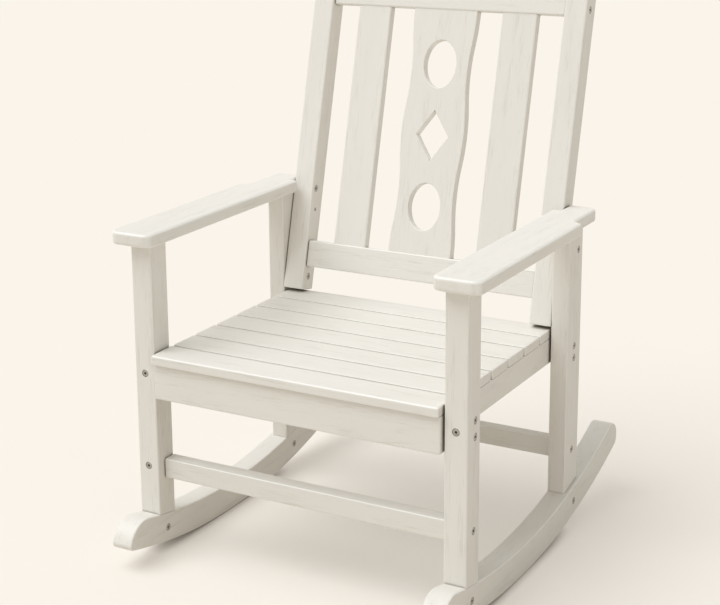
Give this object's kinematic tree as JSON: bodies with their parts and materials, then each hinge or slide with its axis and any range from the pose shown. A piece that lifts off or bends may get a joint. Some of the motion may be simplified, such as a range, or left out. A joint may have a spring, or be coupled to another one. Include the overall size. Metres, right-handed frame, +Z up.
{
  "type": "rocking chair",
  "caption": "Porch rocking chair of plain off-white boards: curved rockers, square posts, flat arms, a slatted seat and a leaning back with a wavy, pierced splat.",
  "frame": {"origin": "on the floor, at the middle of the chair's width and depth", "axes": "+X to the right as seen from the front (the sitter's left), +Y to the back, +Z up; the rockers touch the floor along the line z = 0, y = -0.0755, with the posts upright"},
  "size_m": [0.734, 0.8169, 1.0689],
  "materials": {
    "boards": "off-white plastic lumber with a fine embossed grain along each board",
    "fasteners": "dull stainless steel"
  },
  "bodies": {
    "root": {"right_rocker": "boards", "left_rocker": "boards", "right_front_post": "boards", "left_front_post": "boards", "right_rear_post": "boards", "left_rear_post": "boards", "right_arm": "boards", "left_arm": "boards", "right_seat_rail": "boards", "left_seat_rail": "boards", "right_front_corner_block": "boards", "left_front_corner_block": "boards", "right_rear_corner_block": "boards", "left_rear_corner_block": "boards", "right_back_stile": "boards", "left_back_stile": "boards", "right_back_slat": "boards", "left_back_slat": "boards", "seat_slat_1": "boards", "seat_slat_2": "boards", "seat_slat_3": "boards", "seat_slat_4": "boards", "seat_slat_5": "boards", "seat_slat_6": "boards", "seat_slat_7": "boards", "seat_apron": "boards", "rear_seat_rail": "boards", "front_stretcher": "boards", "rear_stretcher": "boards", "bottom_back_rail": "boards", "top_back_rail": "boards", "centre_splat": "boards", "front_seat_bolts": "fasteners", "rear_seat_bolts": "fasteners", "front_stretcher_bolts": "fasteners", "rear_stretcher_bolts": "fasteners", "rocker_bolts": "fasteners", "stile_bolts": "fasteners", "stile_screws": "fasteners", "arm_screws": "fasteners", "back_rail_screws": "fasteners", "rocker_nuts": "fasteners", "small_stile_screws": "fasteners", "post_face_screws": "fasteners", "slat_screws": "fasteners", "seat_spacers": "fasteners"}
  },
  "joints": []
}
